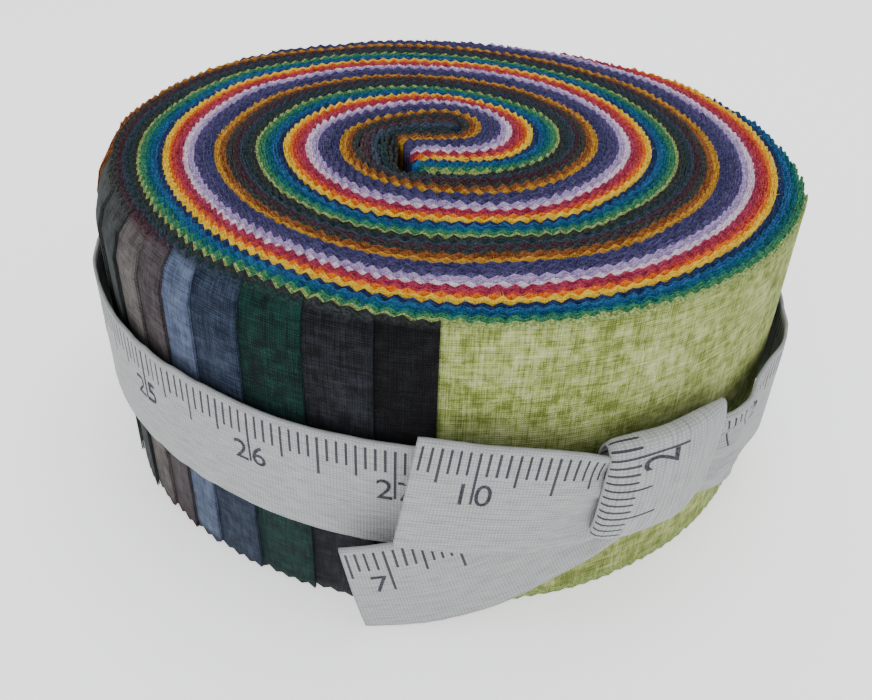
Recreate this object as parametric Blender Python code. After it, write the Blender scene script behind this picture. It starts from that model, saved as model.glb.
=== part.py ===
"""A roll of forty pinked fabric strips, tied round with a cotton tape.

Metres, +Z up. The origin is on the base, under the middle of the roll, and the roll stands on the
flat end of its spiral. Every strip is folded in half, and the forty are stacked and wound together,
anticlockwise as seen from above, with the folds in the heart. Turns are counted from the front (-Y).
"""

from math import atan, cos, pi, radians, sin

import bmesh
import bpy
from mathutils import Vector

# The strips, as cut and stacked
STRIP_WIDTH = 0.0635
STRIPS = 40
STACK = 0.0251
LEAF = STACK / STRIPS

# The winding: the inner face of the stack is at INNER when it first passes the front
HEART = Vector((-0.0015, 0.0014))
INNER = 0.0231
FIRST_BOUNDARY_TURN = -0.22

# Where the strips end on the wall, in degrees anticlockwise from the front, inner strip first
STRIP_ENDS = (
    # colour, strips, end of the first, end of the last
    ("charcoal", 2, 308, 299),
    ("brown", 2, 285, 270),
    ("gold", 2, 254, 240),
    ("indigo", 7, 231, 177),
    ("lilac and white", 4, 171, 158),
    ("rose", 4, 154, 142),
    ("orange and yellow", 3, 138, 127),
    ("blue", 6, 121, 93),
    ("green", 3, 87, 74),
    ("black to taupe", 7, 2.3, -45.4),
)
END_RAMP = 1.1
WALL_STEP = 6.0

# The wall from the base up: height, and how far the edge draws in, with the soft left shoulder on top
BASE_ROUND = 0.0011
TOP_ROUND = 0.0009
BARREL = 0.0006
SHOULDER_DROP = 0.0085
SHOULDER_IN = 0.0042
SHOULDER_AT = 305.0
SHOULDER_SPREAD = 62.0
SHOULDER_FADE = 1.5
SHOULDER_BEND = (0.22, 0.72)

# The groove between laps, and the hollow that the thick stack leaves in the heart
GROOVE_RADIUS = 0.0016
GROOVE_DEPTH = 0.0012
GROOVE_STEP = 0.0055
HOLLOW_DEPTH = 0.0022
WELD = 0.00001
HOLLOW_OUTLINE = (
    # x, y, clockwise from the tip of the curl
    (0.0030, 0.0080),
    (0.0002, 0.0054),
    (-0.0060, 0.0052),
    (-0.0100, 0.0020),
    (-0.0106, -0.0060),
    (-0.0118, -0.0118),
    (-0.0150, -0.0090),
    (-0.0172, -0.0030),
    (-0.0158, 0.0040),
    (-0.0110, 0.0088),
    (-0.0050, 0.0108),
    (0.0004, 0.0104),
)

# The tape
TAPE_WIDTH = 0.0222
TAPE_THICKNESS = 0.0011
TAPE_GAP = 0.0004
BAND_HEIGHT = 0.0292
BAND_TILT = 0.0040
BAND_HIGH_AT = 267.5
BAND_STEP = 4.0
BRIDGE_SPREAD = 8.0
BRIDGE_SAMPLES = 9
CREASES = (
    # degrees from the front, spread, how far it stands off the wall
    (47.0, 4.5, 0.0022),
    (66.0, 6.0, 0.0014),
    (14.0, 5.0, 0.0010),
)

# The knot: the turn of tape that crosses the band, and the two free ends that leave it to the left
KNOT_SEAT = 0.0003
KNOT_ROUND = 2.8
KNOT_SIDES = 20
KNOT_RISE = 0.0022
KNOT_TURN = (
    # degrees from the front, height, depth off the wall
    (22.4, 0.0180, 0.0038),
    (23.2, 0.0202, 0.0050),
    (26.5, 0.0212, 0.0056),
    (30.5, 0.0212, 0.0058),
    (34.5, 0.0215, 0.0054),
    (38.0, 0.0215, 0.0046),
    (40.5, 0.0210, 0.0036),
    (42.5, 0.0200, 0.0026),
)
TAILS = {
    # degrees, height of the middle, tape's width, how far it stands off, how far its low edge leans out
    "upper": (
        (28.0, 0.0276, 0.0150, 0.0026, 0.0),
        (22.5, 0.0286, 0.0180, 0.0032, 0.0),
        (17.0, 0.0300, 0.0210, 0.0036, 0.0006),
        (10.0, 0.0314, 0.0221, 0.0038, 0.0012),
        (3.0, 0.0326, TAPE_WIDTH, 0.0040, 0.0016),
        (-2.3, 0.0337, TAPE_WIDTH, 0.0044, 0.0020),
    ),
    "lower": (
        (28.0, 0.0225, 0.0135, 0.0010, 0.0),
        (22.5, 0.0202, 0.0165, 0.0011, 0.0),
        (15.0, 0.0168, 0.0200, 0.0013, 0.0),
        (7.0, 0.0138, 0.0220, 0.0018, 0.0),
        (-1.0, 0.0121, TAPE_WIDTH, 0.0028, -0.0006),
        (-9.6, 0.0115, TAPE_WIDTH, 0.0042, -0.0020),
    ),
}
TAIL_CUTS = 5


def material(name, colour, roughness):
    made = bpy.data.materials.new(name)
    made.use_nodes = True
    shader = made.node_tree.nodes["Principled BSDF"]
    shader.inputs["Base Color"].default_value = (*colour, 1.0)
    shader.inputs["Roughness"].default_value = roughness
    shader.inputs["Metallic"].default_value = 0.0
    return made


def strip_end_angles():
    """Where each strip ends, in degrees from the front, innermost strip first."""
    angles = []
    for _, count, first, last in STRIP_ENDS:
        step = (last - first) / max(count - 1, 1)
        angles += [first + step * index for index in range(count)]
    return angles


ENDS = strip_end_angles()


def lap_radius(turn):
    """The inner face of the stack, from the heart."""
    return INNER + STACK * turn


def spot(degrees, radius):
    """A point at this angle from the front and this distance from the heart."""
    angle = radians(degrees - 90.0)
    return HEART + radius * Vector((cos(angle), sin(angle)))


def showing(degrees):
    """How many strips are still there at this angle on the last lap."""
    return sum(end > degrees for end in ENDS)


def wall_radius(degrees):
    """The outer face, from the heart."""
    degrees = (degrees - min(ENDS)) % 360.0 + min(ENDS)
    return lap_radius(1.0 + degrees / 360.0) + LEAF * showing(degrees)


def wall_angles():
    """The angles of the outline's points: each side of a strip's end, and a few between."""
    stops = sorted(ENDS)
    angles = []
    for end, following in zip(stops, stops[1:] + [stops[0] + 360.0]):
        first = end + END_RAMP / 2
        last = following - END_RAMP / 2
        pieces = max(1, round((last - first) / WALL_STEP))
        angles += [first + (last - first) * index / pieces for index in range(pieces + 1)]
    return angles


def shoulder(degrees):
    """How much of the soft left shoulder there is at this angle, from 0 to 1."""
    away = (degrees - SHOULDER_AT + 180.0) % 360.0 - 180.0
    return max(0.0, cos(pi / 2 * min(1.0, abs(away) / SHOULDER_SPREAD))) ** SHOULDER_FADE


def wall_levels(degrees):
    """Height and draw-in at each level of the wall, from the base up."""
    soft = SHOULDER_IN * shoulder(degrees)
    halfway, near_top = SHOULDER_BEND
    top = STRIP_WIDTH
    return (
        (0.0, BASE_ROUND),
        (BASE_ROUND, 0.0),
        (top / 2, -BARREL),
        (top - SHOULDER_DROP, 0.0),
        (top - SHOULDER_DROP / 2, halfway * soft),
        (top - TOP_ROUND, near_top * soft),
        (top, TOP_ROUND + soft),
    )


def collection_named(name):
    made = bpy.data.collections.new(name)
    bpy.context.scene.collection.children.link(made)
    return made


def object_from(bm, name, collection, finish=None):
    bmesh.ops.recalc_face_normals(bm, faces=bm.faces)
    mesh = bpy.data.meshes.new(name)
    bm.to_mesh(mesh)
    bm.free()
    made = bpy.data.objects.new(name, mesh)
    if finish:
        mesh.materials.append(finish)
    collection.objects.link(made)
    return made


def loft(rings):
    """A bmesh of closed rings, bridged in turn, with both ends filled."""
    bm = bmesh.new()
    loops = []
    for ring in rings:
        corners = [bm.verts.new(point) for point in ring]
        loops.append([bm.edges.new(pair) for pair in zip(corners, corners[1:] + corners[:1])])
    for lower, upper in zip(loops, loops[1:]):
        bmesh.ops.bridge_loops(bm, edges=lower + upper)
    bmesh.ops.contextual_create(bm, geom=loops[0])
    bmesh.ops.contextual_create(bm, geom=loops[-1])
    return bm


def roll_body(collection, finish):
    """The wound stack: its stepped wall, with the soft shoulder at the left."""
    angles = wall_angles()
    levels = [wall_levels(degrees) for degrees in angles]
    rings = []
    for level in range(len(levels[0])):
        ring = []
        for degrees, heights in zip(angles, levels):
            height, inward = heights[level]
            flat = spot(degrees, wall_radius(degrees) - inward)
            ring.append(flat.to_3d() + Vector((0.0, 0.0, height)))
        rings.append(ring)
    return object_from(loft(rings), "strip_roll", collection, finish)


def mesh_of_curve(curve, name, collection):
    """The curve as a welded mesh, which a Boolean can use."""
    source = bpy.data.objects.new(name + "_curve", curve)
    collection.objects.link(source)
    graph = bpy.context.evaluated_depsgraph_get()
    mesh = bpy.data.meshes.new_from_object(source.evaluated_get(graph))
    bm = bmesh.new()
    bm.from_mesh(mesh)
    bmesh.ops.remove_doubles(bm, verts=bm.verts, dist=WELD)
    bmesh.ops.recalc_face_normals(bm, faces=bm.faces)
    bm.to_mesh(mesh)
    bm.free()
    bpy.data.objects.remove(source)
    made = bpy.data.objects.new(name, mesh)
    collection.objects.link(made)
    return made


def helper(made):
    made.hide_render = True
    made.display_type = "WIRE"
    return made


def lap_groove(name, height, collection):
    """A round cutter along the seam between laps, from the heart out to the wall."""
    last = 1.0 + (min(ENDS) + 360.0) / 360.0
    turn = FIRST_BOUNDARY_TURN
    points = []
    while turn < last:
        points.append(spot(turn * 360.0, lap_radius(turn)))
        turn += GROOVE_STEP / (2 * pi * lap_radius(turn))
    points.append(spot(last * 360.0, lap_radius(last) + GROOVE_RADIUS))
    curve = bpy.data.curves.new(name, "CURVE")
    curve.dimensions = "3D"
    curve.bevel_depth = GROOVE_RADIUS
    curve.bevel_resolution = 0
    curve.use_fill_caps = True
    spline = curve.splines.new("POLY")
    spline.points.add(len(points) - 1)
    for corner, point in zip(spline.points, points):
        corner.co = (point.x, point.y, height, 1.0)
    return helper(mesh_of_curve(curve, name, collection))


def heart_hollow(name, height, collection):
    """A cutter for the comma-shaped hollow round which the stack first curls."""
    curve = bpy.data.curves.new(name, "CURVE")
    curve.dimensions = "2D"
    curve.fill_mode = "BOTH"
    curve.extrude = HOLLOW_DEPTH
    curve.resolution_u = 3
    spline = curve.splines.new("NURBS")
    spline.points.add(len(HOLLOW_OUTLINE) - 1)
    for corner, (x, y) in zip(spline.points, HOLLOW_OUTLINE):
        corner.co = (x, y, 0.0, 1.0)
    spline.order_u = 3
    spline.use_cyclic_u = True
    made = mesh_of_curve(curve, name, collection)
    made.location.z = height
    return helper(made)


def cut(body, cutter):
    modifier = body.modifiers.new(cutter.name, "BOOLEAN")
    modifier.operation = "DIFFERENCE"
    modifier.solver = "EXACT"
    modifier.object = cutter


def join(body, other):
    modifier = body.modifiers.new(other.name, "BOOLEAN")
    modifier.operation = "UNION"
    modifier.solver = "EXACT"
    modifier.object = other


def smooth_wall(degrees):
    """The wall that a tape pulled tight lies on: it bridges the strips' ends."""
    step = 2.0 * BRIDGE_SPREAD / (BRIDGE_SAMPLES - 1)
    around = [degrees - BRIDGE_SPREAD + step * index for index in range(BRIDGE_SAMPLES)]
    return max(wall_radius(angle) for angle in around)


def band_height(degrees):
    return BAND_HEIGHT + BAND_TILT * cos(radians(degrees - BAND_HIGH_AT))


def crease(degrees):
    """How far the band's creases lift it off the wall here."""
    lift = 0.0
    for place, spread, height in CREASES:
        away = (degrees - place + 180.0) % 360.0 - 180.0
        lift += height / (1.0 + (away / spread) ** 4)
    return lift


def tape_section(degrees, inner, middle, width, lean=0.0, slope=0.0):
    """Four corners of the tape, on edge and square to its run, at this angle from the front."""
    corners = []
    for outward, upward in ((0, -1), (1, -1), (1, 1), (0, 1)):
        radius = inner + TAPE_THICKNESS * outward - upward * lean / 2
        along = -upward * sin(slope) * width / 2 / radius
        flat = spot(degrees + along * 180.0 / pi, radius)
        corners.append(Vector((flat.x, flat.y, middle + upward * cos(slope) * width / 2)))
    return corners


def tape_band(collection, finish):
    """The band of tape round the wall, as one closed ring."""
    count = round(360.0 / BAND_STEP)
    bm = bmesh.new()
    loops = []
    for index in range(count):
        degrees = index * BAND_STEP
        inner = smooth_wall(degrees) + BARREL + TAPE_GAP + crease(degrees)
        section = tape_section(degrees, inner, band_height(degrees), TAPE_WIDTH)
        corners = [bm.verts.new(point) for point in section]
        loops.append([bm.edges.new(pair) for pair in zip(corners, corners[1:] + corners[:1])])
    for near, far in zip(loops, loops[1:] + loops[:1]):
        bmesh.ops.bridge_loops(bm, edges=near + far)
    return object_from(bm, "tape_tie", collection, finish)


def knot_turn(collection):
    """The turn of tape that crosses the band at the knot: a flat oval, narrowing into the band."""
    rings = []
    for degrees, height, depth in KNOT_TURN:
        inner = smooth_wall(degrees) + BARREL + KNOT_SEAT
        ring = []
        for side in range(KNOT_SIDES):
            angle = 2 * pi * side / KNOT_SIDES
            outward = rounded(cos(angle)) * depth / 2
            flat = spot(degrees, inner + depth / 2 + outward)
            upward = rounded(sin(angle)) * height / 2
            middle = band_height(degrees) + KNOT_RISE
            ring.append(Vector((flat.x, flat.y, middle + upward)))
        rings.append(ring)
    return helper(object_from(loft(rings), "knot_turn", collection))


def rounded(share):
    """A point of a squared circle, from the same point of a round one."""
    return abs(share) ** (2.0 / KNOT_ROUND) * (1 if share > 0 else -1)


def blend(rows, share):
    """A smooth reading of a table's rows, share running from 0 to 1 along them."""
    place = share * (len(rows) - 1)
    index = min(int(place), len(rows) - 2)
    part = place - index
    before = rows[max(index - 1, 0)]
    start = rows[index]
    end = rows[index + 1]
    after = rows[min(index + 2, len(rows) - 1)]
    values = []
    for a, b, c, d in zip(before, start, end, after):
        bend = 2 * a - 5 * b + 4 * c - d
        twist = 3 * (b - c) + d - a
        values.append(b + 0.5 * part * (c - a + part * (bend + part * twist)))
    return values


def tail(name, rows, collection):
    """One free end of the tape, from inside the knot to its cut end."""
    steps = TAIL_CUTS * (len(rows) - 1)
    rings = []
    for index in range(steps + 1):
        degrees, middle, width, off, lean = blend(rows, index / steps)
        before = blend(rows, max(index - 1, 0) / steps)
        after = blend(rows, min(index + 1, steps) / steps)
        inner = smooth_wall(degrees) + BARREL + off
        run = radians(after[0] - before[0]) * inner
        slope = atan((after[1] - before[1]) / run)
        rings.append(tape_section(degrees, inner, middle, width, lean, slope))
    return helper(object_from(loft(rings), name, collection))


def build():
    for leftover in list(bpy.data.objects):
        bpy.data.objects.remove(leftover, do_unlink=True)
    parts = collection_named("fabric_strip_roll")
    cutters = collection_named("shaping_helpers")
    cotton = material("pinked_cotton", (0.12, 0.13, 0.17), 0.9)
    twill = material("cotton_tape", (0.62, 0.63, 0.64), 0.85)

    roll = roll_body(parts, cotton)
    groove_offset = GROOVE_RADIUS - GROOVE_DEPTH
    for name, height, away in (("top", STRIP_WIDTH, 1.0), ("base", 0.0, -1.0)):
        cut(roll, lap_groove("lap_groove_" + name, height + away * groove_offset, cutters))
        cut(roll, heart_hollow("heart_hollow_" + name, height, cutters))

    tie = tape_band(parts, twill)
    join(tie, knot_turn(cutters))
    for name, rows in TAILS.items():
        join(tie, tail(name + "_tail", rows, cutters))


build()
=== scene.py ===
"""Looks for a tied roll of pinked fabric strips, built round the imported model. All sizes are in metres."""

import random
from math import atan2, cos, pi, radians, sin

import bmesh
import bpy
from mathutils import Matrix, Vector, noise


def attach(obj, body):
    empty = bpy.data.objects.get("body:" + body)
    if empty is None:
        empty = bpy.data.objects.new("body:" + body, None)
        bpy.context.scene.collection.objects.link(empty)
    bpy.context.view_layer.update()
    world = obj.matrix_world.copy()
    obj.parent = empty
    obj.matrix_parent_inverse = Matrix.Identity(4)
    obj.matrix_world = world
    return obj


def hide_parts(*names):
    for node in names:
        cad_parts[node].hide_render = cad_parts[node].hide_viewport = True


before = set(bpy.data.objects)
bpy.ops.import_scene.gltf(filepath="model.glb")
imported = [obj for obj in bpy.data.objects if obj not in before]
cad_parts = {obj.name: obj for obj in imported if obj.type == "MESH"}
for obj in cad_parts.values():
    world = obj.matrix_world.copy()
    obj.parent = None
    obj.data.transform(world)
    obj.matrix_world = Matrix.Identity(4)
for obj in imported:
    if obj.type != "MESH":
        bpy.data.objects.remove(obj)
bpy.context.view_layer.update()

# The camera stands in front of the roll and above it, where the photograph was taken from.
# Its lens, tilt and small shift come from points of the rim and of the wound lines.
PHOTO_WIDTH = 872.0
LENS_PIXELS = 863.26
CAMERA_PLACE = Vector((0.0, -0.17012, 0.13323))
CAMERA_PITCH = 0.566203
CAMERA_YAW = 0.018207
CAMERA_ROLL = 0.051794
SHIFT_RIGHT = -19.45
SHIFT_UP = -60.0
ahead = Vector((
    sin(CAMERA_YAW) * cos(CAMERA_PITCH),
    cos(CAMERA_YAW) * cos(CAMERA_PITCH),
    -sin(CAMERA_PITCH),
))
level_right = ahead.cross(Vector((0.0, 0.0, 1.0))).normalized()
level_up = level_right.cross(ahead)
camera_right = level_right * cos(CAMERA_ROLL) + level_up * sin(CAMERA_ROLL)
camera_up = level_up * cos(CAMERA_ROLL) - level_right * sin(CAMERA_ROLL)
lens = bpy.data.cameras.new("photo_camera")
lens.sensor_width = 36.0
lens.lens = LENS_PIXELS / PHOTO_WIDTH * lens.sensor_width
lens.shift_x = SHIFT_RIGHT / PHOTO_WIDTH
lens.shift_y = SHIFT_UP / PHOTO_WIDTH
lens.clip_start = 0.01
camera = bpy.data.objects.new("photo_camera", lens)
turned = Matrix((camera_right, camera_up, -ahead)).transposed().to_4x4()
camera.matrix_world = Matrix.Translation(CAMERA_PLACE) @ turned
bpy.context.scene.collection.objects.link(camera)
bpy.context.scene.camera = camera

# The floor is a plain pale sheet that turns up far behind the roll.
# It is a swept grid with a soft bend, of milky plastic lit a little from below as on a light table.
FLOOR_HALF = 3.0
FLOOR_BEND_AT = 1.0
FLOOR_BEND = 0.35
FLOOR_CLEARANCE = 0.00005
floor_mesh = bmesh.new()
bmesh.ops.create_grid(floor_mesh, x_segments=2, y_segments=40, size=FLOOR_HALF)
for corner in floor_mesh.verts:
    past = max(0.0, corner.co.y - FLOOR_BEND_AT)
    corner.co.z = FLOOR_BEND * past * past - FLOOR_CLEARANCE
floor_data = bpy.data.meshes.new("floor")
floor_mesh.to_mesh(floor_data)
floor_mesh.free()
floor = bpy.data.objects.new("floor", floor_data)
bpy.context.scene.collection.objects.link(floor)
for face in floor_data.polygons:
    face.use_smooth = True
floor_paint = bpy.data.materials.new("pale_floor")
floor_paint.use_nodes = True
floor_shader = floor_paint.node_tree.nodes["Principled BSDF"]
floor_shader.inputs["Base Color"].default_value = (0.93, 0.93, 0.92, 1.0)
floor_shader.inputs["Roughness"].default_value = 0.9
floor_shader.inputs["Emission Color"].default_value = (1.0, 1.0, 1.0, 1.0)
floor_shader.inputs["Emission Strength"].default_value = 0.80
floor_data.materials.append(floor_paint)

# The light is a large soft box above, two smaller ones in front and at the right, and a pale room.
# They stay well outside the camera's view.
world = bpy.data.worlds.new("pale_room")
world.use_nodes = True
world.node_tree.nodes["Background"].inputs["Color"].default_value = (0.92, 0.95, 1.0, 1.0)
world.node_tree.nodes["Background"].inputs["Strength"].default_value = 0.62
bpy.context.scene.world = world
LIT_HEIGHT = 0.03
for name, place, size, power in (
    ("soft_box_above", (0.10, 0.30, 1.1), 1.1, 9.0),
    ("soft_box_front", (-0.45, -1.0, 0.75), 0.9, 7.0),
    ("soft_box_right", (1.0, -0.5, 0.8), 0.9, 3.0),
):
    lamp = bpy.data.lights.new(name, "AREA")
    lamp.size = size
    lamp.energy = power
    holder = bpy.data.objects.new(name, lamp)
    holder.location = place
    aim = Vector((0.0, 0.0, LIT_HEIGHT)) - Vector(place)
    holder.rotation_euler = aim.to_track_quat("-Z", "Y").to_euler()
    bpy.context.scene.collection.objects.link(holder)

# The forty cotton strips, each cut with pinking shears' zigzag along both edges and folded in half.
# They are stacked with the folds together, wound from that end, and end one after another on the wall.
STRIP_WIDTH = 0.0635
STRIPS = 40
STACK = 0.0251
LAYER = STACK / STRIPS
HEART = Vector((-0.0015, 0.0014))
INNER = 0.0231
GOLD_LINE = 6
LEAF_THICKNESS = 0.00025
CLOTH_SEED = 100
YARN_SEED = 500
# the pinked teeth: they are deeper in the heart, and all meet in one line at this share of a turn
TOOTH_PITCH = 0.0027
TOOTH_DEPTH = 0.0011
TEETH_MEET = 0.80
SHALLOWER = 0.40
DEEP_TO = 0.014
DEEP_FADE = 0.04
VALLEY = 0.60
UNEVEN = 0.55
UNEVEN_LOST = 0.35
FRAY = 0.00032
# on the soft left side the teeth make ridges, spaced as they would be at this distance from the heart
RIDGES = 1.2
RIDGE_RADIUS = 0.066
RIDGES_FROM = 0.054
RIDGES_BACK_TO = 0.02
# the soft left shoulder, where the strips' tops lean in
SHOULDER_DROP = 0.0085
SHOULDER_IN = 0.0050
SHOULDER_AT = 305.0
SHOULDER_SPREAD = 62.0
SHOULDER_REACH = 0.024
SHOULDER_EDGE = 1.5
SHOULDER_BEND = 1.9
LAST_ROW = 3
# how unevenly the strips lie: whole strips, their tops, and their sides
SUNK = 0.00040
DIP = 0.0006
DIP_GRAIN = 45
DIP_SEED = 0.3
NEAR_HEART = 0.004
WAVE = 0.00022
WAVE_GRAIN = 70
WAVE_GRAIN_UP = 25
LEAF_WOBBLE = 0.00010
NEXT_PRINT = 0.37
STRIP_COLOURS = (
    # name, light tone, middle tone, dark tone, where each strip of it ends, in degrees from the front
    ("charcoal", (0.060, 0.066, 0.066), (0.030, 0.034, 0.035), (0.014, 0.016, 0.018), (308,)),
    ("grey_green", (0.075, 0.085, 0.080), (0.040, 0.047, 0.045), (0.018, 0.022, 0.022), (299,)),
    ("brown", (0.300, 0.105, 0.028), (0.170, 0.050, 0.012), (0.080, 0.022, 0.006), (285,)),
    ("rust", (0.380, 0.140, 0.030), (0.230, 0.070, 0.014), (0.110, 0.030, 0.007), (270,)),
    ("old_gold", (0.620, 0.330, 0.035), (0.430, 0.210, 0.018), (0.240, 0.105, 0.010), (254,)),
    ("ochre", (0.560, 0.300, 0.030), (0.380, 0.180, 0.016), (0.210, 0.090, 0.009), (240,)),
    ("indigo", (0.062, 0.058, 0.165), (0.030, 0.028, 0.090), (0.013, 0.013, 0.046),
        (231, 222, 213)),
    ("slate_violet", (0.090, 0.078, 0.190), (0.045, 0.039, 0.105), (0.020, 0.018, 0.052),
        (204, 195)),
    ("violet", (0.110, 0.088, 0.230), (0.058, 0.044, 0.130), (0.027, 0.021, 0.068), (186, 177)),
    ("lilac", (0.500, 0.390, 0.620), (0.330, 0.240, 0.450), (0.180, 0.120, 0.290), (171, 167)),
    ("pink_white", (0.830, 0.700, 0.780), (0.640, 0.490, 0.600), (0.420, 0.290, 0.420), (162, 158)),
    ("rose", (0.440, 0.052, 0.110), (0.270, 0.020, 0.055), (0.130, 0.009, 0.026), (154, 150)),
    ("coral", (0.560, 0.075, 0.062), (0.370, 0.032, 0.032), (0.200, 0.014, 0.017), (146, 142)),
    ("orange", (0.800, 0.210, 0.018), (0.620, 0.110, 0.008), (0.360, 0.050, 0.006), (138,)),
    ("yellow", (0.880, 0.600, 0.045), (0.720, 0.430, 0.018), (0.440, 0.230, 0.008), (132.5, 127)),
    ("navy", (0.020, 0.045, 0.140), (0.008, 0.020, 0.075), (0.004, 0.009, 0.036), (121, 115.4)),
    ("blue", (0.022, 0.130, 0.300), (0.009, 0.065, 0.170), (0.004, 0.030, 0.090), (109.8, 104.2)),
    ("teal", (0.014, 0.150, 0.185), (0.005, 0.080, 0.105), (0.003, 0.038, 0.056), (98.6, 93)),
    ("green", (0.070, 0.300, 0.125), (0.028, 0.170, 0.060), (0.012, 0.080, 0.027), (87, 80.5)),
    ("lime", (0.520, 0.570, 0.260), (0.290, 0.335, 0.090), (0.130, 0.165, 0.030), (74,)),
    ("black", (0.011, 0.011, 0.013), (0.004, 0.004, 0.005), (0.002, 0.002, 0.002), (2.3,)),
    ("soft_black", (0.024, 0.027, 0.034), (0.009, 0.010, 0.013), (0.004, 0.004, 0.005), (-5.9,)),
    ("bottle_green", (0.008, 0.045, 0.036), (0.003, 0.019, 0.016), (0.0015, 0.008, 0.007), (-15.8,)),
    ("storm_blue", (0.045, 0.062, 0.100), (0.018, 0.028, 0.050), (0.007, 0.011, 0.024), (-24.8,)),
    ("lavender_grey", (0.130, 0.160, 0.240), (0.075, 0.098, 0.160), (0.038, 0.050, 0.088), (-33.4,)),
    ("dark_taupe", (0.095, 0.078, 0.085), (0.055, 0.044, 0.048), (0.026, 0.020, 0.024), (-40.0,)),
    ("taupe", (0.150, 0.135, 0.130), (0.095, 0.084, 0.080), (0.050, 0.042, 0.042), (-45.4,)),
)
CUT_EDGE_YARN_AND_SHADE = {
    # the cut teeth of these show other yarn tones than their print does; the lavender grey, dark taupe and
    # taupe teeth are also darker than their print, a painted shade of the fuzz along the top
    "charcoal": (0.034, 0.038, 0.036), "grey_green": (0.040, 0.045, 0.039),
    "green": (0.035, 0.170, 0.080), "lime": (0.250, 0.330, 0.105), "black": (0.024, 0.026, 0.025),
    "soft_black": (0.028, 0.033, 0.034), "bottle_green": (0.013, 0.036, 0.031),
    "storm_blue": (0.022, 0.036, 0.054), "lavender_grey": (0.030, 0.042, 0.060),
    "dark_taupe": (0.042, 0.020, 0.028), "taupe": (0.048, 0.022, 0.029),
}
HEART_LINE = (
    # the outer gold line in the heart, from the folded end of the stack
    (-0.0112, -0.0024), (-0.0085, -0.0016), (-0.0050, -0.0007), (0.0000, 0.0000), (0.0040, 0.0015),
    (0.0063, 0.0042), (0.0071, 0.0080), (0.0066, 0.0116), (0.0048, 0.0148), (0.0020, 0.0168),
    (-0.0015, 0.0175), (-0.0060, 0.0167), (-0.0110, 0.0144), (-0.0160, 0.0110), (-0.0200, 0.0064),
    (-0.0222, 0.0014),
)
# where the strips' folds lie behind the stack's end: strips below the first number, by the second
FOLDS_BACK = ((6, 0.0), (13, 0.0006), (24, 0.0011), (30, 0.0), (33, 0.0008), (40, 0.0))
FOLD_SCATTER = 0.0007
# from the stack to the even winding: the stack's squeeze, and where each strip joins the winding
SQUEEZE = 0.10
SQUEEZE_RUN = 0.016
JOIN_FROM = 0.040
JOIN_OVER = 0.050
OUTER_JOIN_FROM = 0.008
OUTER_JOIN_OVER = 0.014
OUTER_FIRST = 4
OUTER_SPAN = 24.0
TWELFTHS_ON = 2
LINE_STEPS = 6
LOOSE_STEPS = 8
SMOOTHINGS = 3
WALK = 0.0009
FIRST_LOOSE = 33
LOOSE_INSIDE = (
    # the dark strips at the outside of the stack turn back round its folded end into the hollow: their
    # path nearest the stack, from the stack's underside to the tip of the hollow
    (-0.0085, -0.0164), (-0.0097, -0.0150), (-0.0103, -0.0105), (-0.0106, -0.0055), (-0.0107, -0.0012),
    (-0.0104, 0.0014), (-0.0080, 0.0032), (-0.0045, 0.0040), (-0.0010, 0.0044), (0.0016, 0.0054),
    (0.0028, 0.0074),
)
LOOSE_OUTSIDE = (
    # and the path nearest the next lap
    (-0.0085, -0.0192), (-0.0124, -0.0168), (-0.0156, -0.0124), (-0.0176, -0.0066), (-0.0180, 0.0004),
    (-0.0160, 0.0058), (-0.0106, 0.0101), (-0.0055, 0.0126), (-0.0010, 0.0133), (0.0018, 0.0122),
    (0.0034, 0.0100),
)
LOOSE_JOIN = -0.0050
LOOSE_LENGTH = 0.058
LOOSE_FADE = 0.014
LOOSE_EARLY = 0.012
LOOSE_SUNK = 0.0006
LOOSE_APART = 0.00022
LOOSE_WOBBLE = 2.5
FLUFF = 0.00024
ENDS = [end for colour in STRIP_COLOURS for end in colour[4]]


def ease(share):
    share = min(1.0, max(0.0, share))
    return share * share * (3.0 - 2.0 * share)


def wall_radius(degrees):
    """The outer face of the roll, from the heart, at this angle from the front."""
    degrees = (degrees - min(ENDS)) % 360.0 + min(ENDS)
    showing = sum(end > degrees for end in ENDS)
    return INNER + STACK * (1.0 + degrees / 360.0) + LAYER * showing


def spot(degrees, radius):
    angle = radians(degrees - 90.0)
    return HEART + radius * Vector((cos(angle), sin(angle)))


def smooth_line(points, steps):
    """A smooth line through the points, steps points to each stretch."""
    line = []
    for index in range(len(points) - 1):
        before, start = Vector(points[max(index - 1, 0)]), Vector(points[index])
        end, after = Vector(points[index + 1]), Vector(points[min(index + 2, len(points) - 1)])
        for step in range(steps):
            part = step / steps
            bend = 2 * before - 5 * start + 4 * end - after
            twist = 3 * (start - end) + after - before
            line.append(start + 0.5 * part * (end - before + part * (bend + part * twist)))
    return line + [Vector(points[-1])]


def turns_at(point, near):
    """The turns round the heart at this point, counted so that they are next to near."""
    away = point - HEART
    turns = atan2(away.y, away.x) / (2 * pi) + 0.25
    return turns + round(near - turns)


gold_points = list(HEART_LINE)
for twelfth in range(-TWELFTHS_ON, TWELFTHS_ON + 1):
    turns = twelfth / 12.0
    gold_points.append(spot(turns * 360.0, INNER + GOLD_LINE * LAYER + STACK * turns)[:])
gold_curve = smooth_line(gold_points, LINE_STEPS)
for _ in range(SMOOTHINGS):
    gold_curve = [gold_curve[0]] + [
        (before + 2 * here + after) / 4
        for before, here, after in zip(gold_curve, gold_curve[1:], gold_curve[2:])
    ] + [gold_curve[-1]]


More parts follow.
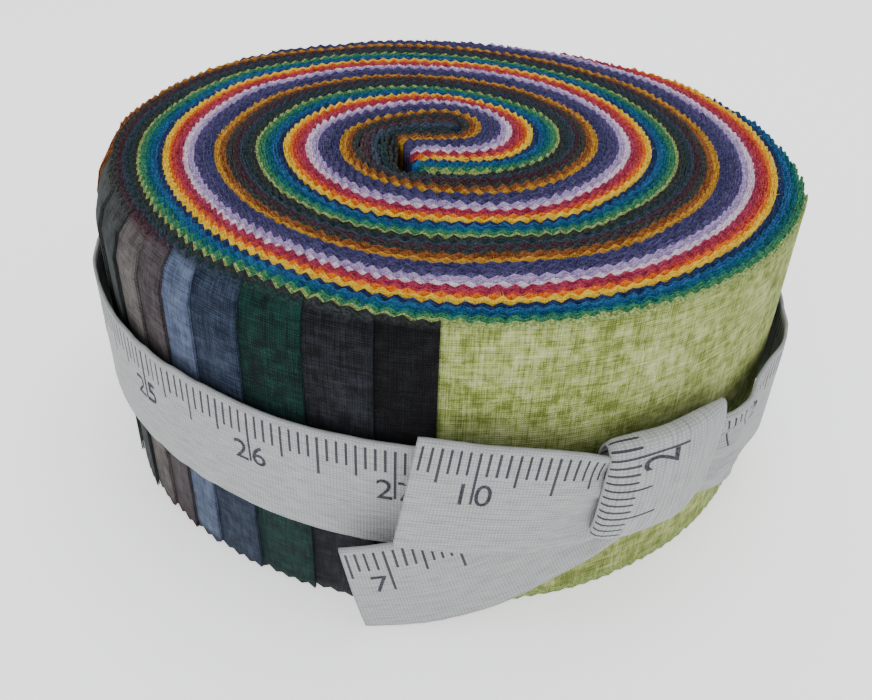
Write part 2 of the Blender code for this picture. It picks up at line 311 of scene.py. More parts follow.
def strip_line(index, chance):
    """The line of one folded strip, seen from above, from its fold in the heart to its end on the wall."""
    offset = (index + 0.5 - GOLD_LINE) * LAYER
    start = next(back for below, back in FOLDS_BACK if index < below) + chance.uniform(0.0, FOLD_SCATTER)
    places = []
    shares = []
    run = 0.0
    for before, here, after in zip(gold_curve, gold_curve[1:], gold_curve[2:]):
        run += (here - before).length
        if run < start:
            continue
        along = (after - before).normalized()
        squeeze = 1.0 - SQUEEZE + SQUEEZE * ease(run / SQUEEZE_RUN)
        places.append(here + Vector((along.y, -along.x)) * offset * squeeze)
        outer = ease((run - OUTER_JOIN_FROM) / OUTER_JOIN_OVER) * ease((index - OUTER_FIRST) / OUTER_SPAN)
        shares.append(max(outer, ease((run - JOIN_FROM) / JOIN_OVER)))
    near = TWELFTHS_ON / 12.0
    for place in range(len(places) - 1, -1, -1):
        if shares[place] <= 0.0:
            break
        near = turns_at(places[place], near)
        if place == len(places) - 1:
            last = near
        away = places[place] - HEART
        wound = INNER + (index + 0.5) * LAYER + STACK * near
        radius = away.length + (wound - away.length) * shares[place]
        places[place] = HEART + away.normalized() * radius
    if index >= FIRST_LOOSE:
        share = (index - FIRST_LOOSE + 0.5) / (STRIPS - FIRST_LOOSE)
        loose = [
            Vector(near_stack).lerp(Vector(near_lap), share)
            for near_stack, near_lap in zip(LOOSE_INSIDE, LOOSE_OUTSIDE)
        ]
        skipped = next(count for count, place in enumerate(places) if place.x > LOOSE_JOIN)
        joined = places[skipped:]
        loose = loose[:len(loose) - (index % 3)]
        turned_back = [place[:] for place in reversed(loose)] + [joined[0][:]]
        places = smooth_line(turned_back, LOOSE_STEPS) + joined[1:]
    turns = last
    final = 1.0 + ENDS[index] / 360.0
    while turns < final:
        turns = min(final, turns + WALK / (2 * pi * (INNER + STACK * turns)))
        places.append(spot(turns * 360.0, INNER + (index + 0.5) * LAYER + STACK * turns))
    return places


def evenly(line, index):
    """The line's points half a tooth apart, so placed that the teeth of all strips meet at TEETH_MEET.

    On the soft left side the outer teeth stay in line with one another, as ridges that point to the heart.
    """
    half_tooth = TOOTH_PITCH / 2
    lengths = [0.0]
    for before, here in zip(line, line[1:]):
        away = here - HEART
        soft_side = away.length > RIDGES_FROM and away.x < 0.0 and away.y < RIDGES_BACK_TO
        scale = RIDGE_RADIUS / away.length if soft_side else 1.0
        lengths.append(lengths[-1] + (here - before).length * scale)
    radius = INNER + (index + 0.5) * LAYER + STACK * TEETH_MEET
    meeting = spot(TEETH_MEET * 360.0, radius)
    nearest = min(range(len(line)), key=lambda place: (line[place] - meeting).length)
    start = lengths[nearest] % TOOTH_PITCH
    pieces = int((lengths[-1] - start) / half_tooth)
    points = []
    place = 0
    for piece in range(pieces + 1):
        wanted = start + piece * half_tooth
        while place < len(line) - 2 and lengths[place + 1] < wanted:
            place += 1
        span = max(lengths[place + 1] - lengths[place], 1e-9)
        points.append(line[place].lerp(line[place + 1], (wanted - lengths[place]) / span))
    return points, pieces * half_tooth, pieces


def cloth_piece(name, patches, thickness, finish):
    """Cloth bent from flat grids. Each patch is its cells and a function from them to a point and a UV."""
    bm = bmesh.new()
    marks = bm.loops.layers.uv.new("cloth")
    for across, up, place in patches:
        made = bmesh.ops.create_grid(bm, x_segments=across, y_segments=up, size=0.5)["verts"]
        flat = {}
        for corner in made:
            column = round((corner.co.x + 0.5) * across)
            row = round((corner.co.y + 0.5) * up)
            corner.co, flat[corner] = place(column, row)
        for face in {face for corner in made for face in corner.link_faces}:
            face.smooth = True
            for loop in face.loops:
                loop[marks].uv = flat[loop.vert]
    mesh = bpy.data.meshes.new(name)
    bm.to_mesh(mesh)
    bm.free()
    mesh.materials.append(finish)
    piece = bpy.data.objects.new(name, mesh)
    bpy.context.scene.collection.objects.link(piece)
    wall = piece.modifiers.new("cloth_thickness", "SOLIDIFY")
    wall.thickness = thickness
    wall.offset = 0.0
    return piece


def looseness(run):
    """1 on the part of a strip that turns back into the hollow, 0 where it is wound tight."""
    return 1.0 - ease((run - LOOSE_LENGTH + LOOSE_EARLY) / LOOSE_FADE)


def fluff_up(strip, pieces, length):
    """Thicker cloth on the loose part of a strip, where its layers open and fray."""
    group = strip.vertex_groups.new(name="loose")
    for number in range(len(strip.data.vertices)):
        column = number % (2 * pieces + 1)
        group.add([number], looseness(length * abs(column - pieces) / pieces), "REPLACE")
    wall = strip.modifiers["cloth_thickness"]
    wall.vertex_group = "loose"
    wall.thickness = LEAF_THICKNESS + FLUFF
    wall.thickness_vertex_group = LEAF_THICKNESS / wall.thickness


def bend_strip(index, line, length, pieces):
    """The place of each corner of a strip's grid: a leaf on each side of its line, joined at the fold."""
    top = STRIP_WIDTH
    rows = (0.0, top - SHOULDER_DROP, top - SHOULDER_DROP / 2, top)
    chance = random.Random(CLOTH_SEED + index)
    sunk = chance.uniform(0.0, SUNK)
    ragged = [(chance.random(), chance.random(), chance.uniform(-1, 1)) for _ in range(2 * pieces + 1)]

    def place(column, row):
        step = abs(column - pieces)
        side = 1.0 if column > pieces else -1.0
        here = line[step]
        along = (line[min(step + 1, pieces)] - line[max(step - 1, 0)]).normalized()
        slack = looseness(length * step / pieces) if index >= FIRST_LOOSE else 0.0
        apart = 0.0 if step == 0 else LAYER / 4 + LOOSE_APART * slack
        if row == LAST_ROW:
            apart += LEAF_WOBBLE * ragged[column][2] * (1.0 + LOOSE_WOBBLE * slack)
        point = here + Vector((along.y, -along.x)) * side * apart
        away = point - HEART
        radius = away.length
        degrees = (atan2(away.y, away.x) + pi / 2) * 180 / pi
        past = (degrees - SHOULDER_AT + 180.0) % 360.0 - 180.0
        soft = max(0.0, cos(pi / 2 * min(1.0, abs(past) / SHOULDER_SPREAD))) ** SHOULDER_EDGE
        soft *= max(0.0, 1.0 - (wall_radius(degrees) - radius) / SHOULDER_REACH)
        depth = TOOTH_DEPTH * (1.0 - SHALLOWER * ease((radius - DEEP_TO) / DEEP_FADE))
        depth *= 1.0 + RIDGES * soft
        valley = 0.0
        if step % 2 == 0:
            valley = depth * (VALLEY + (UNEVEN - UNEVEN_LOST * soft) * ragged[column][0])
        fray = FRAY * ragged[column][1]
        high = rows[row]
        if row == 0:
            high = valley + fray
        elif row == LAST_ROW:
            grain = noise.noise(Vector((point.x * DIP_GRAIN, point.y * DIP_GRAIN, DIP_SEED)))
            high = top - valley - fray - sunk - max(0.0, DIP * (0.5 + grain)) - LOOSE_SUNK * slack
        lift = max(0.0, (high - (top - SHOULDER_DROP)) / SHOULDER_DROP)
        wave = Vector((point.x * WAVE_GRAIN, point.y * WAVE_GRAIN, high * WAVE_GRAIN_UP))
        inward = SHOULDER_IN * soft * lift ** SHOULDER_BEND + WAVE * noise.noise(wave)
        point = HEART + away * (1.0 - inward / max(radius, NEAR_HEART))
        print_at = length * (column - pieces) / pieces + NEXT_PRINT * index
        return Vector((point.x, point.y, high)), (print_at, high)

    return place


NOISE_ROUGHNESS = 0.62
THREAD_WANDER = 0.5


def math_node(tree, operation, first, second=0.0, third=0.0):
    made = tree.nodes.new("ShaderNodeMath")
    made.operation = operation
    for socket, value in zip(made.inputs, (first, second, third)):
        if isinstance(value, (int, float)):
            socket.default_value = value
        else:
            tree.links.new(value, socket)
    return made.outputs[0]


def noise_node(tree, where, scale, detail, stretch=(1.0, 1.0, 1.0)):
    """A soft noise. Its scale is in waves a metre."""
    mapping = tree.nodes.new("ShaderNodeMapping")
    mapping.inputs["Scale"].default_value = stretch
    tree.links.new(where, mapping.inputs["Vector"])
    made = tree.nodes.new("ShaderNodeTexNoise")
    made.inputs["Scale"].default_value = scale
    made.inputs["Detail"].default_value = detail
    made.inputs["Roughness"].default_value = NOISE_ROUGHNESS
    tree.links.new(mapping.outputs[0], made.inputs["Vector"])
    return made.outputs["Fac"]


def wave_node(tree, where, direction, scale):
    """Even threads along X or Y, 0.314 / scale metres apart."""
    made = tree.nodes.new("ShaderNodeTexWave")
    made.bands_direction = direction
    made.inputs["Scale"].default_value = scale
    made.inputs["Distortion"].default_value = THREAD_WANDER
    tree.links.new(where, made.inputs["Vector"])
    return made.outputs["Fac"]


def tone_ramp(tree, tone, stops):
    """Colours by tone. Each stop is a tone and its colour."""
    ramp = tree.nodes.new("ShaderNodeValToRGB")
    elements = ramp.color_ramp.elements
    elements[0].position, elements[1].position = stops[0][0], stops[-1][0]
    elements[0].color, elements[1].color = (*stops[0][1], 1.0), (*stops[-1][1], 1.0)
    for position, colour in stops[1:-1]:
        elements.new(position).color = (*colour, 1.0)
    tree.links.new(tone, ramp.inputs[0])
    return ramp.outputs[0]


def mixed(tree, share, first, second):
    """Two colours mixed by share. The second is a socket or a plain colour."""
    mix = tree.nodes.new("ShaderNodeMix")
    mix.data_type = "RGBA"
    tree.links.new(share, mix.inputs[0])
    tree.links.new(first, mix.inputs[6])
    if isinstance(second, tuple):
        mix.inputs[7].default_value = (*second, 1.0)
    else:
        tree.links.new(second, mix.inputs[7])
    return mix.outputs[2]


def cloth_surface(tree, shade, height, distance, roughness, specular, sheen):
    """Joins a cloth's colour and its raised threads to its shader."""
    shader = tree.nodes["Principled BSDF"]
    bump = tree.nodes.new("ShaderNodeBump")
    bump.inputs["Strength"].default_value = BUMP_STRENGTH
    bump.inputs["Distance"].default_value = distance
    tree.links.new(height, bump.inputs["Height"])
    tree.links.new(bump.outputs[0], shader.inputs["Normal"])
    tree.links.new(shade, shader.inputs["Base Color"])
    shader.inputs["Roughness"].default_value = roughness
    shader.inputs["Specular IOR Level"].default_value = specular
    shader.inputs["Sheen Weight"].default_value = sheen


BUMP_STRENGTH = 0.7
COTTON_BUMP = 0.00018
# scales of the print's blots and flecks, of its threads and their fibres, and of the weave
BLOTS = 70.0
FLECKS = 420.0
THREADS = 1100.0
THREAD_LONG = (0.16, 2.0, 1.0)
THREAD_ACROSS = (2.0, 0.16, 1.0)
FIBRES = 2300.0
COTTON_WEAVE = 760.0
FRAYED_DEPTH = 0.0024
FRAYED_FADE = 0.0012
COTTON_STOPS = (0.25, 0.5, 0.85)
YARN_STOPS = (0.36, 0.66)
YARN_DARK = 0.40
YARN_LIGHT = 1.70
FRIZZ_HIGHLIGHT_MIDDLE = 0.44
MOTTLE = 0.5
LIME_MOTTLE = 0.60


def cotton(name, light, middle, dark, cut_edge_yarn_and_shade, mottle):
    """Printed quilting cotton: a plain weave with a soft mottle of like tones, and frayed cut edges that are
    a little lighter on average, a painted highlight, and where given take their yarn tone, for some strips
    darkened as painted shade.
    """
    made = bpy.data.materials.new(name)
    made.use_nodes = True
    tree = made.node_tree
    cloth = tree.nodes.new("ShaderNodeUVMap")
    cloth.uv_map = "cloth"
    where = cloth.outputs[0]
    blots = noise_node(tree, where, BLOTS, 6.0)
    flecks = noise_node(tree, where, FLECKS, 4.0)
    warp = noise_node(tree, where, THREADS, 2.0, THREAD_LONG)
    weft = noise_node(tree, where, THREADS, 2.0, THREAD_ACROSS)
    threads = math_node(tree, "ADD", warp, weft)
    fibres = noise_node(tree, where, FIBRES, 3.0)
    over = wave_node(tree, where, "X", COTTON_WEAVE)
    under = wave_node(tree, where, "Y", COTTON_WEAVE)
    weave = math_node(tree, "MULTIPLY", over, under)
    # each part moves the tone by its weight, and the number after it takes its mean away again
    tone = math_node(tree, "MULTIPLY_ADD", blots, 1.6 * mottle, 0.5 - 0.8 * mottle)
    tone = math_node(tree, "MULTIPLY_ADD", flecks, 1.1, math_node(tree, "SUBTRACT", tone, 0.55))
    tone = math_node(tree, "MULTIPLY_ADD", threads, 0.8, math_node(tree, "SUBTRACT", tone, 0.8))
    tone = math_node(tree, "MULTIPLY_ADD", weave, 0.30, math_node(tree, "SUBTRACT", tone, 0.07))
    split = tree.nodes.new("ShaderNodeSeparateXYZ")
    tree.links.new(where, split.inputs[0])
    from_middle = math_node(tree, "SUBTRACT", split.outputs["Y"], STRIP_WIDTH / 2)
    from_middle = math_node(tree, "ABSOLUTE", from_middle)
    edge = math_node(tree, "SUBTRACT", from_middle, STRIP_WIDTH / 2 - FRAYED_DEPTH)
    ragged = math_node(tree, "SUBTRACT", flecks, 0.5)
    edge = math_node(tree, "MULTIPLY_ADD", edge, 1.0 / FRAYED_FADE, ragged)
    edge_share = math_node(tree, "MINIMUM", math_node(tree, "MAXIMUM", edge, 0.0), 1.0)
    # along the cut edges the fibres give a random tone, set a little lighter on average as a painted
    # highlight of fibres catching light
    frizz = math_node(tree, "SUBTRACT", fibres, FRIZZ_HIGHLIGHT_MIDDLE)
    frizz = math_node(tree, "MULTIPLY", edge_share, frizz)
    tone = math_node(tree, "MULTIPLY_ADD", frizz, 1.5, tone)
    shade = tone_ramp(tree, tone, list(zip(COTTON_STOPS, (dark, middle, light))))
    # where a cut edge colour is given, the edge band takes that yarn tone, for some strips partly painted
    # shade, spread darker and lighter by the fibres
    if cut_edge_yarn_and_shade:
        tones = [tuple(part * share for part in cut_edge_yarn_and_shade) for share in (YARN_DARK, YARN_LIGHT)]
        yarn_and_shade = tone_ramp(tree, fibres, list(zip(YARN_STOPS, tones)))
        shade = mixed(tree, edge_share, shade, yarn_and_shade)
    raised = math_node(tree, "MULTIPLY_ADD", weave, 0.8, threads)
    frizz = math_node(tree, "MULTIPLY", edge_share, fibres)
    raised = math_node(tree, "MULTIPLY_ADD", frizz, 3.0, raised)
    cloth_surface(tree, shade, raised, COTTON_BUMP, roughness=0.92, specular=0.12, sheen=0.02)
    return made


YARN_SHARE = 0.5
YARN_LENGTH = 0.0007
YARN_SHORTEST = 0.5
YARN_LONGEST = 1.2
YARN_THICK = 0.00006
YARN_TIP = 0.00001
YARN_STRAY = 0.0004
YARN_BELOW_TOP = 0.0001


def frayed_edge(name, line, length, pieces, index, finish):
    """Short loose yarn ends along the top teeth of both leaves, at about half of their sides."""
    chance = random.Random(YARN_SEED + index)
    place = bend_strip(index, line, length, pieces)
    bm = bmesh.new()
    marks = bm.loops.layers.uv.new("cloth")
    for column in range(2 * pieces):
        here, mark = place(column, LAST_ROW)
        beyond, _ = place(column + 1, LAST_ROW)
        if chance.random() >= YARN_SHARE:
            continue
        root = here.lerp(beyond, chance.random())
        out = (root.to_2d() - HEART).normalized().to_3d()
        lean = Vector((chance.uniform(-1, 1), chance.uniform(-1, 1), chance.uniform(0.1, 1.0)))
        tip = lean * YARN_LENGTH * chance.uniform(YARN_SHORTEST, YARN_LONGEST)
        tip += out * chance.uniform(-YARN_STRAY, YARN_STRAY)
        tip.z = min(tip.z, STRIP_WIDTH - YARN_BELOW_TOP - root.z)
        turn = tip.to_track_quat("Z", "Y").to_matrix().to_4x4()
        where = Matrix.Translation(root + tip / 2) @ turn
        made = bmesh.ops.create_cone(
            bm, cap_ends=True, segments=3, radius1=YARN_THICK, radius2=YARN_TIP,
            depth=tip.length, matrix=where)["verts"]
        for face in {face for corner in made for face in corner.link_faces}:
            for loop in face.loops:
                loop[marks].uv = mark
    mesh = bpy.data.meshes.new(name)
    bm.to_mesh(mesh)
    bm.free()
    mesh.materials.append(finish)
    yarns = bpy.data.objects.new(name, mesh)
    bpy.context.scene.collection.objects.link(yarns)
    return yarns


strips_made = 0
for name, light, middle, dark, ends in STRIP_COLOURS:
    mottle = LIME_MOTTLE if name == "lime" else MOTTLE
    finish = cotton("cotton_" + name, light, middle, dark, CUT_EDGE_YARN_AND_SHADE.get(name), mottle)
    for index in range(strips_made, strips_made + len(ends)):
        line, length, pieces = evenly(strip_line(index, random.Random(index)), index)
        grid = (2 * pieces, LAST_ROW, bend_strip(index, line, length, pieces))
        strip = cloth_piece("strip_%02d_%s" % (index, name), [grid], LEAF_THICKNESS, finish)
        if index >= FIRST_LOOSE:
            fluff_up(strip, pieces, length)
        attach(strip, "root")
        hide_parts("strip_roll")
        yarns = frayed_edge("fray_%02d_%s" % (index, name), line, length, pieces, index, finish)
        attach(yarns, "root")
    strips_made += len(ends)

# The tape is one length of woven cotton tape printed as a ruler, pulled tight round the wall and tied.
# One turn of it crosses the band at the knot, and both free ends leave the knot to the left.
TAPE_WIDTH = 0.0222
TAPE_CLOTH = 0.00055
TAPE_GAP = 0.0004
BAND_HEIGHT = 0.0292
BAND_TILT = 0.0040
BAND_HIGH_AT = 267.5
BAND_START = 30.0
BAND_SWEEP = 366.0
# each crease's place and spread in degrees, and its height
CREASES = ((47.0, 4.5, 0.00176), (66.0, 6.0, 0.00112), (14.0, 5.0, 0.0008))
OFF_WALL = 0.0006
GATHER_FROM = 6.0
GATHER_OVER = 26.0
GATHER_NARROWS = 0.20
PLEAT_DEPTH = 0.0007
BAND_PLEATS = 3.0
BAND_PLEAT_LEAN = 0.09
BAND_RIPPLE = 0.00025
# waves along and across, and a seed
BAND_GRAIN = (30.0, 2.0, 4.0)
LAP_LIFT = 0.0006
LAP_WITHIN = 12.0
KNOT_SEAT = 0.0003
KNOT_ROUND = 2.8
KNOT_RISE = 0.0022
KNOT_AT = 32.0
KNOT_CRUMPLE = 0.0004
KNOT_GRAIN = (9.0, 3.5, 1.7)
KNOT_FOLD = 0.00016
KNOT_FOLDS = 3.0
KNOT_SKEW = 0.8
# degrees, height along the wall and depth off it, from the knot's left edge to its right
KNOT_TURN = (
    (22.4, 0.0180, 0.0038), (23.2, 0.0202, 0.0050), (26.5, 0.0212, 0.0056), (30.5, 0.0212, 0.0058),
    (34.5, 0.0215, 0.0054), (38.0, 0.0215, 0.0046), (40.5, 0.0210, 0.0036), (42.5, 0.0200, 0.0026),
)
END_GATHER = 0.55
END_PLEATS = 2.0
END_PLEATS_FROM = 0.6
END_CRUMPLE = 0.0003
END_GRAIN = (5.0, 2.5, 90.0)
END_CREASE = 0.0011
END_CREASE_AT = 0.52
END_CREASE_HALF = 0.045
END_CREASE_TO = 0.14
END_CREASE_FADE = 0.2
READ_STEP = 0.02
LOWER_CUT_SKEW = 0.06
# degrees, height of the middle line, width, how far off the wall, and how far its top leans in
UPPER_END = (
    (28.0, 0.0276, 0.0150, 0.0026, 0.0), (22.5, 0.0286, 0.0180, 0.0032, 0.0),
    (17.0, 0.0300, 0.0210, 0.0036, 0.0006), (10.0, 0.0314, 0.0221, 0.0038, 0.0012),
    (3.0, 0.0326, TAPE_WIDTH, 0.0040, 0.0016), (-2.3, 0.0337, TAPE_WIDTH, 0.0044, 0.0020),
)
LOWER_END = (
    (28.0, 0.0225, 0.0135, 0.0010, 0.0), (22.5, 0.0202, 0.0165, 0.0011, 0.0),
    (15.0, 0.0168, 0.0200, 0.0013, 0.0), (7.0, 0.0138, 0.0220, 0.0022, 0.0),
    (-1.0, 0.0121, TAPE_WIDTH, 0.0038, -0.0008), (-9.6, 0.0115, TAPE_WIDTH, 0.0062, -0.0024),
)


def smooth_wall(degrees):
    return max(wall_radius(degrees + 2.0 * step) for step in range(-4, 5))


def band_height(degrees):
    return BAND_HEIGHT + BAND_TILT * cos(radians(degrees - BAND_HIGH_AT))


def row_at(rows, share):
    """A smooth reading of a table's rows, share running from 0 to 1 along them."""
    share = min(1.0, max(0.0, share)) * (len(rows) - 1)
    index = min(int(share), len(rows) - 2)
    part = share - index
    around = (rows[max(index - 1, 0)], rows[index], rows[index + 1], rows[min(index + 2, len(rows) - 1)])
    return [
        b + 0.5 * part * (c - a + part * (2 * a - 5 * b + 4 * c - d + part * (3 * (b - c) + d - a)))
        for a, b, c, d in zip(*around)
    ]


def band_point(along, across):
    """A point of the band: along and across run from 0 to 1, across from the upper, ruled edge."""
    degrees = BAND_START + BAND_SWEEP * along
    lift = TAPE_GAP + TAPE_CLOTH / 2
    for place, spread, height in CREASES:
        away = (degrees - place + 180.0) % 360.0 - 180.0
        lift += height / (1.0 + (away / spread) ** 4)
    from_knot = abs((degrees - KNOT_AT + 180.0) % 360.0 - 180.0)
    gather = 1.0 - ease((from_knot - GATHER_FROM) / GATHER_OVER)
    pleats = cos(2 * pi * BAND_PLEATS * across + BAND_PLEAT_LEAN * degrees)
    lift += PLEAT_DEPTH * gather * (1.0 + pleats)
    grain = Vector((along * BAND_GRAIN[0], across * BAND_GRAIN[1], BAND_GRAIN[2]))
    lift += BAND_RIPPLE * (1.0 + noise.noise(grain))
    if along > 0.5 and from_knot < LAP_WITHIN:
        lift += LAP_LIFT
    radius = smooth_wall(degrees) + OFF_WALL + lift
    width = TAPE_WIDTH * (1.0 - GATHER_NARROWS * gather)
    flat = spot(degrees, radius)
    return Vector((flat.x, flat.y, band_height(degrees) + width * (0.5 - across)))


def knot_point(along, across):
    """A point of the turn that crosses the band: along goes round it, across from its ruled left edge."""
    degrees, height, depth = row_at(KNOT_TURN, across)
    angle = 2 * pi * (along - 0.5)
    sides = []
    for share in (cos(angle), sin(angle)):
        sides.append(abs(share) ** (2.0 / KNOT_ROUND) * (1 if share > 0 else -1))
    grain = Vector((along * KNOT_GRAIN[0], across * KNOT_GRAIN[1], KNOT_GRAIN[2]))
    crumple = KNOT_CRUMPLE * noise.noise(grain)
    folds = cos(2 * pi * KNOT_FOLDS * across + KNOT_FOLDS * along)
    pulled = KNOT_FOLD * folds * max(0.0, cos(angle))
    seat = smooth_wall(degrees) + OFF_WALL + KNOT_SEAT
    radius = seat + depth / 2 * (1.0 + sides[0]) + crumple + pulled
    flat = spot(degrees + KNOT_SKEW * sides[1], radius)
    return Vector((flat.x, flat.y, band_height(degrees) + KNOT_RISE + sides[1] * height / 2))


def end_point(rows, along, across):
    """A point of a free end, along from inside the knot to the cut, across from its upper, ruled edge."""
    degrees, middle, width, off, lean = row_at(rows, along)
    before = row_at(rows, along - READ_STEP)
    after = row_at(rows, along + READ_STEP)
    inner = smooth_wall(degrees) + OFF_WALL + off
    run = radians(after[0] - before[0]) * inner
    slope = atan2(-(after[1] - before[1]), -run)
    upward = 1.0 - 2.0 * across
    gather = 1.0 - ease(along / END_GATHER)
    grain = Vector((along * END_GRAIN[0], across * END_GRAIN[1], middle * END_GRAIN[2]))
    pleat = PLEAT_DEPTH * gather * cos(2 * pi * END_PLEATS * across + END_PLEATS_FROM)
    pleat += END_CRUMPLE * noise.noise(grain)
    crease = 2.7 ** -(((across - END_CREASE_AT) / END_CREASE_HALF) ** 2)
    pleat -= END_CREASE * (1.0 - ease((along - END_CREASE_TO) / END_CREASE_FADE)) * crease
    radius = inner - upward * lean / 2 + TAPE_CLOTH / 2 + pleat
    aside = upward * sin(slope) * width / 2 / radius
    flat = spot(degrees - aside * 180.0 / pi, radius)
    return Vector((flat.x, flat.y, middle + upward * cos(slope) * width / 2))


def upper_end_point(along, across):
    return end_point(UPPER_END, along, across)


def lower_end_point(along, across):
    return end_point(LOWER_END, along * (1.0 - LOWER_CUT_SKEW * across), across)


TAPE_RUNS = (
    # its function, cells along and across, which way it reads, where one inch line falls, that line's
    # number, and how far before the line and below the edge the number is
    (band_point, 240, 14, 1, 0.5, 20, 0.0, 0.0098),
    (knot_point, 48, 22, 1, 0.63, 2, 0.0016, 0.0084),
    (upper_end_point, 34, 16, -1, 0.72, 10, 0.0, 0.0098),
    (lower_end_point, 36, 16, -1, 0.877, 7, 0.0022, 0.0098),
)
INCH = 0.0254
# whole inches before each run's own inch line, so that its ticks are counted from zero up
INCHES_BEFORE = 8


def run_lengths(point, cells):
    """How far along the tape each column of a run is, measured down its middle."""
    places = [point(column / cells, 0.5) for column in range(cells + 1)]
    lengths = [0.0]
    for before, here in zip(places, places[1:]):
        lengths.append(lengths[-1] + (here - before).length)
    return lengths


def share_to_length(lengths, share):
    place = min(max(share, 0.0), 1.0) * (len(lengths) - 1)
    index = min(int(place), len(lengths) - 2)
    return lengths[index] + (lengths[index + 1] - lengths[index]) * (place - index)


def length_to_share(lengths, length):
    for index in range(len(lengths) - 1):
        if length <= lengths[index + 1] or index == len(lengths) - 2:
            part = (length - lengths[index]) / (lengths[index + 1] - lengths[index])
            return (index + part) / (len(lengths) - 1)


def tape_patch(point, along_cells, across_cells, inch_at):
    lengths = run_lengths(point, along_cells)
    start = INCHES_BEFORE * INCH - share_to_length(lengths, inch_at)

    def place(column, row):
        across = row / across_cells
        return point(column / along_cells, across), (start + lengths[column], across * TAPE_WIDTH)

    return along_cells, across_cells, place


# each kind of tick's spacing, how far in from the edge it reaches, and half its width
TICKS = (
    (INCH / 16, 0.0060, 0.00022), (INCH / 4, 0.0078, 0.00023),
    (INCH / 2, 0.0092, 0.00023), (INCH, 0.0118, 0.00023),
)
TAPE_BUMP = 0.00014
TICK_MARGIN = 0.0013
TICK_COVER = 0.92
TICK_INK = (0.018, 0.021, 0.028)
TWILL = 560.0
SLUBS = 700.0
SLUB_LONG = (0.3, 2.0, 1.0)
# the tape's tone: darker between the twill's threads, a painted shade, lighter where they cross, with a
# random tone from the slubs
TWILL_SHADE_AND_TONE_STOPS = ((0.15, (0.205, 0.210, 0.215)), (0.8, (0.470, 0.475, 0.475)))


def woven_tape():
    """Unbleached white cotton tape in a fine twill, with a ruler's ticks printed along one edge."""
    made = bpy.data.materials.new("ruler_tape")
    made.use_nodes = True
    tree = made.node_tree
    cloth = tree.nodes.new("ShaderNodeUVMap")
    cloth.uv_map = "cloth"
    where = cloth.outputs[0]
    split = tree.nodes.new("ShaderNodeSeparateXYZ")
    tree.links.new(where, split.inputs[0])
    along, across = split.outputs["X"], split.outputs["Y"]
    ticks = 0.0
    for spacing, reach, half in TICKS:
        on_line = math_node(tree, "LESS_THAN", math_node(tree, "PINGPONG", along, spacing / 2), half)
        in_reach = math_node(tree, "LESS_THAN", across, reach)
        mark = math_node(tree, "MULTIPLY", on_line, in_reach)
        ticks = math_node(tree, "MAXIMUM", ticks, mark)
    margin = math_node(tree, "GREATER_THAN", across, TICK_MARGIN)
    ticks = math_node(tree, "MULTIPLY", ticks, margin)
    weft = wave_node(tree, where, "X", TWILL)
    warp = wave_node(tree, where, "Y", TWILL)
    weave = math_node(tree, "MULTIPLY", weft, warp)
    slubs = noise_node(tree, where, SLUBS, 3.0, SLUB_LONG)
    raised = math_node(tree, "ADD", weave, slubs)
    # darker between the twill's threads as painted shade, and varied at random by the slubs
    tone = math_node(tree, "MULTIPLY_ADD", weave, 0.5, math_node(tree, "MULTIPLY", slubs, 0.8))
    inked = math_node(tree, "MULTIPLY", ticks, TICK_COVER)
    shade = mixed(tree, inked, tone_ramp(tree, tone, TWILL_SHADE_AND_TONE_STOPS), TICK_INK)
    cloth_surface(tree, shade, raised, TAPE_BUMP, roughness=0.85, specular=0.25, sheen=0.05)
    return made


tape_patches = [tape_patch(run[0], run[1], run[2], run[4]) for run in TAPE_RUNS]
tape_length = sum(run_lengths(run[0], run[1])[-1] for run in TAPE_RUNS)
tape = cloth_piece("ruler_tape", tape_patches, TAPE_CLOTH, woven_tape())
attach(tape, "root")
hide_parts("tape_tie")

# The ruler's plain numbers are printed in dark ink below the ticks, one to each inch line.
# Each is a thin outline wrapped on the face of the tape that it is printed on.
NUMBER_HEIGHT = 0.0043
NUMERAL_TO_SIZE = 0.69
NUMERAL_SPACING = 1.12
CURVE_STEPS = 4
INK_LIFT = 0.00006
INK_GRAIN = 2500.0
INK_STOPS = ((0.35, (0.016, 0.019, 0.026)), (0.75, (0.090, 0.095, 0.105)))
NEAR_ALONG = 0.004
NEAR_ACROSS = 0.02
ink = bpy.data.materials.new("printed_ink")
ink.use_nodes = True
ink_shader = ink.node_tree.nodes["Principled BSDF"]
ink_shader.inputs["Roughness"].default_value = 0.8
ink_shader.inputs["Specular IOR Level"].default_value = 0.2
ink_speckle = ink.node_tree.nodes.new("ShaderNodeTexCoord")
ink_grain = noise_node(ink.node_tree, ink_speckle.outputs["Object"], INK_GRAIN, 2.0)
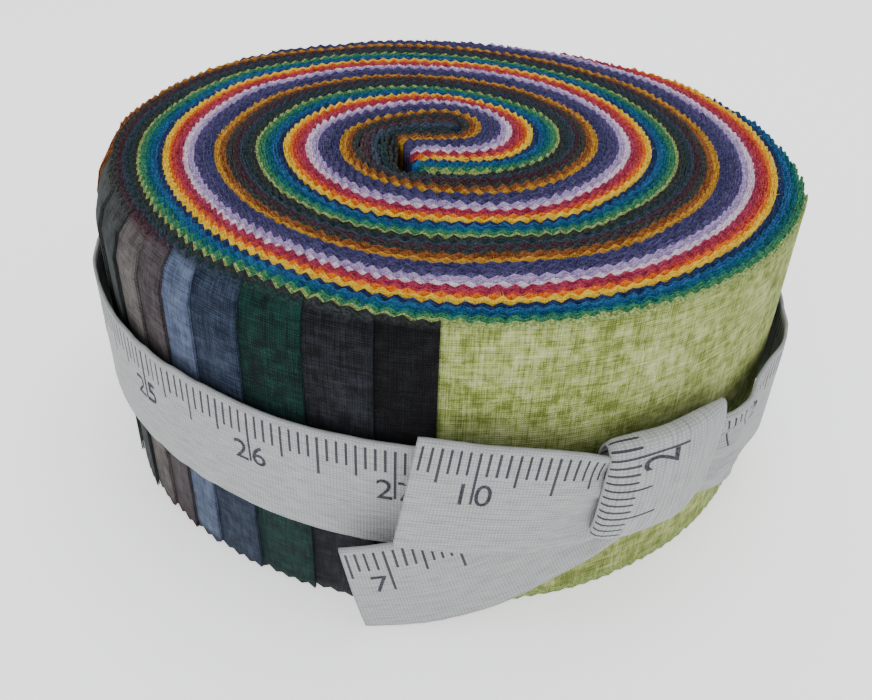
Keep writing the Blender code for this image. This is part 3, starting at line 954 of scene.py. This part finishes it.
ink_tone = tone_ramp(ink.node_tree, ink_grain, INK_STOPS)
ink.node_tree.links.new(ink_tone, ink_shader.inputs["Base Color"])


def tape_spot(point, lengths, length, across):
    """A place just above the printed face of the tape."""
    along = length_to_share(lengths, length)
    here = point(along, across)
    ahead = point(along + NEAR_ALONG, across) - point(along - NEAR_ALONG, across)
    down = point(along, across + NEAR_ACROSS) - point(along, across - NEAR_ACROSS)
    face = ahead.cross(down).normalized()
    if face.dot(here.to_2d().to_3d()) < 0.0:
        face = -face
    return here + face * (TAPE_CLOTH / 2 + INK_LIFT)


numbers = bmesh.new()
for point, cells, _, reads, inch_at, first, before_line, below in TAPE_RUNS:
    lengths = run_lengths(point, cells)
    middle = share_to_length(lengths, inch_at)
    around = range(-int(middle / INCH), int((lengths[-1] - middle) / INCH) + 1)
    for inch in around if point is band_point else (0,):
        text = bpy.data.curves.new("number", "FONT")
        text.body = str(first + inch)
        text.size = NUMBER_HEIGHT / NUMERAL_TO_SIZE
        text.align_x = "CENTER"
        text.space_character = NUMERAL_SPACING
        text.resolution_u = CURVE_STEPS
        holder = bpy.data.objects.new("number", text)
        bpy.context.scene.collection.objects.link(holder)
        settled = holder.evaluated_get(bpy.context.evaluated_depsgraph_get())
        outline = bpy.data.meshes.new_from_object(settled)
        bpy.data.objects.remove(holder)
        number = bmesh.new()
        number.from_mesh(outline)
        for corner in number.verts:
            across = (below + NUMBER_HEIGHT / 2 - corner.co.y) / TAPE_WIDTH
            length = middle + inch * INCH + reads * (corner.co.x - before_line)
            corner.co = tape_spot(point, lengths, min(max(length, 0.0), lengths[-1]), across)
        if reads < 0:
            bmesh.ops.reverse_faces(number, faces=number.faces)
        number.to_mesh(outline)
        number.free()
        numbers.from_mesh(outline)
number_mesh = bpy.data.meshes.new("ruler_numbers")
numbers.to_mesh(number_mesh)
numbers.free()
number_mesh.materials.append(ink)
ruler_numbers = bpy.data.objects.new("ruler_numbers", number_mesh)
bpy.context.scene.collection.objects.link(ruler_numbers)
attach(ruler_numbers, "root")
